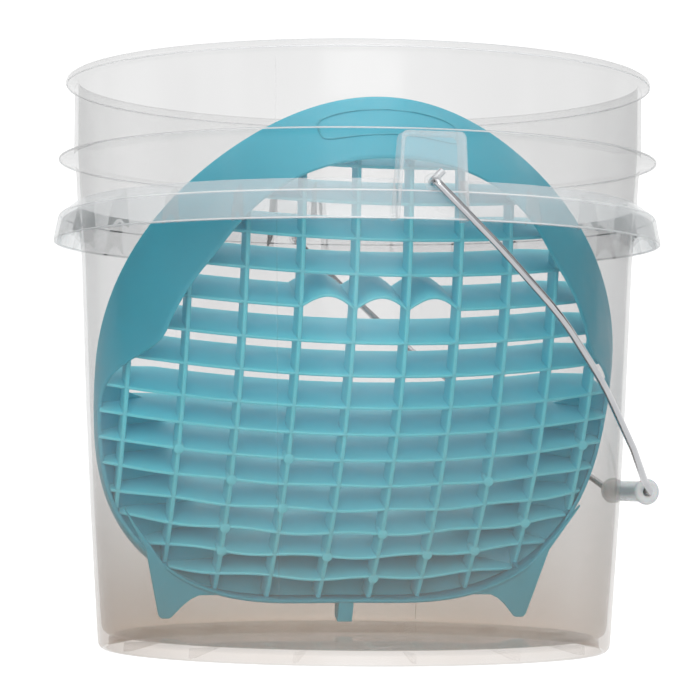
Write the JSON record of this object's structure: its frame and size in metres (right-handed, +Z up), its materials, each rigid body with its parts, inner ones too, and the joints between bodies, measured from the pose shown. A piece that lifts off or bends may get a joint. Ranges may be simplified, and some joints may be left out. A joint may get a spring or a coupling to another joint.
{
  "type": "fermenting bucket",
  "caption": "Translucent plastic fermenting bucket with a stacking collar, a wire bail with a grip spool, and a slatted drain insert that stands tilted inside.",
  "frame": {"origin": "centre of the foot ring, on the surface the bucket stands on", "axes": "+Z up along the bucket's axis, Y through the two ears with the front ear towards -Y, +X to the side the bail hangs on"},
  "size_m": [0.313, 0.3242, 0.292],
  "materials": {
    "natural_plastic": "translucent, smooth and slightly frosted",
    "teal_plastic": "satin moulded",
    "bright_wire": "bright drawn wire",
    "white_plastic": "smooth, slightly translucent"
  },
  "bodies": {
    "bucket": {"bucket_body": "natural_plastic", "bucket_collar": "natural_plastic"},
    "insert": {"insert_shell": "teal_plastic", "insert_slat_01": "teal_plastic", "insert_slat_02": "teal_plastic", "insert_slat_03": "teal_plastic", "insert_slat_04": "teal_plastic", "insert_slat_05": "teal_plastic", "insert_slat_06": "teal_plastic", "insert_slat_07": "teal_plastic", "insert_slat_08": "teal_plastic", "insert_slat_09": "teal_plastic", "insert_slat_10": "teal_plastic", "insert_slat_11": "teal_plastic", "insert_slat_12": "teal_plastic", "insert_slat_13": "teal_plastic", "insert_slat_14": "teal_plastic", "insert_slat_15": "teal_plastic", "insert_bar_01": "teal_plastic", "insert_bar_02": "teal_plastic", "insert_bar_03": "teal_plastic", "insert_bar_04": "teal_plastic", "insert_bar_05": "teal_plastic", "insert_bar_06": "teal_plastic", "insert_bar_07": "teal_plastic", "insert_bar_08": "teal_plastic", "insert_bar_09": "teal_plastic", "insert_bar_10": "teal_plastic"},
    "bail": {"bail_wire": "bright_wire"},
    "grip": {"bail_grip": "white_plastic"}
  },
  "joints": [
    {"name": "bail_pivot", "type": "hinge", "parent": "bucket", "child": "bail", "pos_m": [0, 0, 0.225], "axis": [0, -1, 0], "range_deg": [0, 267]},
    {"name": "grip_turn", "type": "hinge", "parent": "bail", "child": "grip", "pos_m": [0.14915, 0, 0.08147], "axis": [0, 1, 0], "continuous": true},
    {"name": "insert_lift", "type": "slide", "parent": "bucket", "child": "insert", "axis": [0, 0, 1], "range_m": [0, 0.3]}
  ]
}
